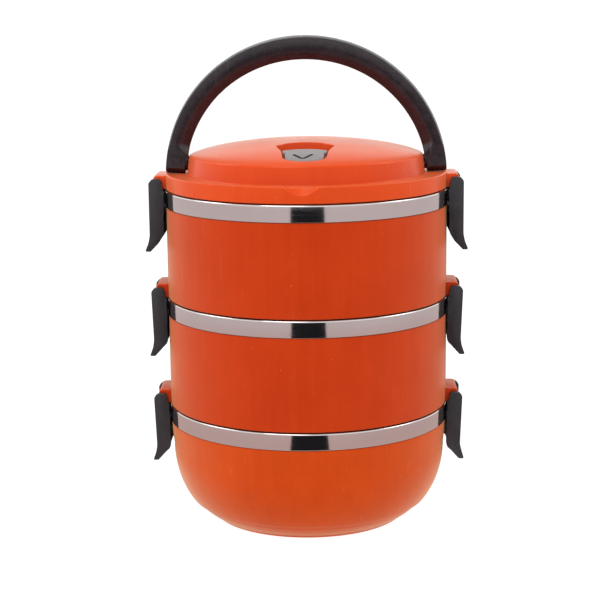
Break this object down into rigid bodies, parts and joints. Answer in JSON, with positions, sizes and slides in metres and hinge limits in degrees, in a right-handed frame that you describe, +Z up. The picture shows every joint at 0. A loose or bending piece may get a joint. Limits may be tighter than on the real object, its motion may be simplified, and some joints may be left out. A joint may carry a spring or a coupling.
{
  "type": "tiffin carrier",
  "caption": "Stacked round lunch carrier: insulated steel-lined bowls, side latches, a lid with a steam vent and an arched carrying handle.",
  "frame": {"origin": "centre of the flat foot, on the surface the carrier stands on", "axes": "+Z up; -Y is the front, where the vent and thumb scoop are; latches and handle pivots lie along X"},
  "size_m": [0.1654, 0.1456, 0.251],
  "materials": {
    "orange_plastic": "satin moulded polypropylene with faint scuffs",
    "charcoal_plastic": "fine-textured moulded polypropylene",
    "polished_steel": "mirror-polished stainless steel with fine wipe marks",
    "grey_plastic": "fine-textured moulded plastic",
    "silicone": "matt translucent white silicone"
  },
  "bodies": {
    "bottom_tier": {"shell_bottom": "orange_plastic", "liner_bottom": "polished_steel"},
    "middle_tier": {"shell_middle": "orange_plastic", "liner_middle": "polished_steel", "seal_ring_middle": "silicone", "latch_pin_middle_left": "polished_steel", "latch_pin_middle_right": "polished_steel"},
    "top_tier": {"shell_top": "orange_plastic", "liner_top": "polished_steel", "seal_ring_top": "silicone", "latch_pin_top_left": "polished_steel", "latch_pin_top_right": "polished_steel"},
    "lid": {"lid_cover": "orange_plastic", "lid_inner_plate": "orange_plastic", "seal_ring_lid": "silicone", "latch_pin_lid_left": "polished_steel", "latch_pin_lid_right": "polished_steel"},
    "handle_bail": {"handle": "charcoal_plastic"},
    "vent": {"vent_flap": "grey_plastic", "vent_plug": "silicone"},
    "latch_lid_left_body": {"latch_lid_left": "charcoal_plastic"},
    "latch_lid_right_body": {"latch_lid_right": "charcoal_plastic"},
    "latch_top_left_body": {"latch_top_left": "charcoal_plastic"},
    "latch_top_right_body": {"latch_top_right": "charcoal_plastic"},
    "latch_middle_left_body": {"latch_middle_left": "charcoal_plastic"},
    "latch_middle_right_body": {"latch_middle_right": "charcoal_plastic"}
  },
  "joints": [
    {"name": "middle_tier_lift", "type": "slide", "parent": "bottom_tier", "child": "middle_tier", "axis": [0, 0, 1], "range_m": [0, 0.09]},
    {"name": "top_tier_lift", "type": "slide", "parent": "middle_tier", "child": "top_tier", "axis": [0, 0, 1], "range_m": [0, 0.09]},
    {"name": "lid_lift", "type": "slide", "parent": "top_tier", "child": "lid", "axis": [0, 0, 1], "range_m": [0, 0.09]},
    {"name": "handle_fold", "type": "hinge", "parent": "lid", "child": "handle_bail", "pos_m": [0, 0, 0.1877], "axis": [1, 0, 0], "range_deg": [-58, 58]},
    {"name": "vent_open", "type": "hinge", "parent": "lid", "child": "vent", "pos_m": [0, -0.0475, 0.1926], "axis": [1, 0, 0], "range_deg": [0, 80]},
    {"name": "latch_lid_left_open", "type": "hinge", "parent": "lid", "child": "latch_lid_left_body", "pos_m": [-0.0774, 0, 0.1762], "axis": [0, 1, 0], "range_deg": [0, 110]},
    {"name": "latch_lid_right_open", "type": "hinge", "parent": "lid", "child": "latch_lid_right_body", "pos_m": [0.0774, 0, 0.1762], "axis": [0, -1, 0], "range_deg": [0, 110]},
    {"name": "latch_top_left_open", "type": "hinge", "parent": "top_tier", "child": "latch_top_left_body", "pos_m": [-0.0774, 0, 0.1199], "axis": [0, 1, 0], "range_deg": [0, 110]},
    {"name": "latch_top_right_open", "type": "hinge", "parent": "top_tier", "child": "latch_top_right_body", "pos_m": [0.0774, 0, 0.1199], "axis": [0, -1, 0], "range_deg": [0, 110]},
    {"name": "latch_middle_left_open", "type": "hinge", "parent": "middle_tier", "child": "latch_middle_left_body", "pos_m": [-0.0774, 0, 0.0636], "axis": [0, 1, 0], "range_deg": [0, 110]},
    {"name": "latch_middle_right_open", "type": "hinge", "parent": "middle_tier", "child": "latch_middle_right_body", "pos_m": [0.0774, 0, 0.0636], "axis": [0, -1, 0], "range_deg": [0, 110]}
  ]
}
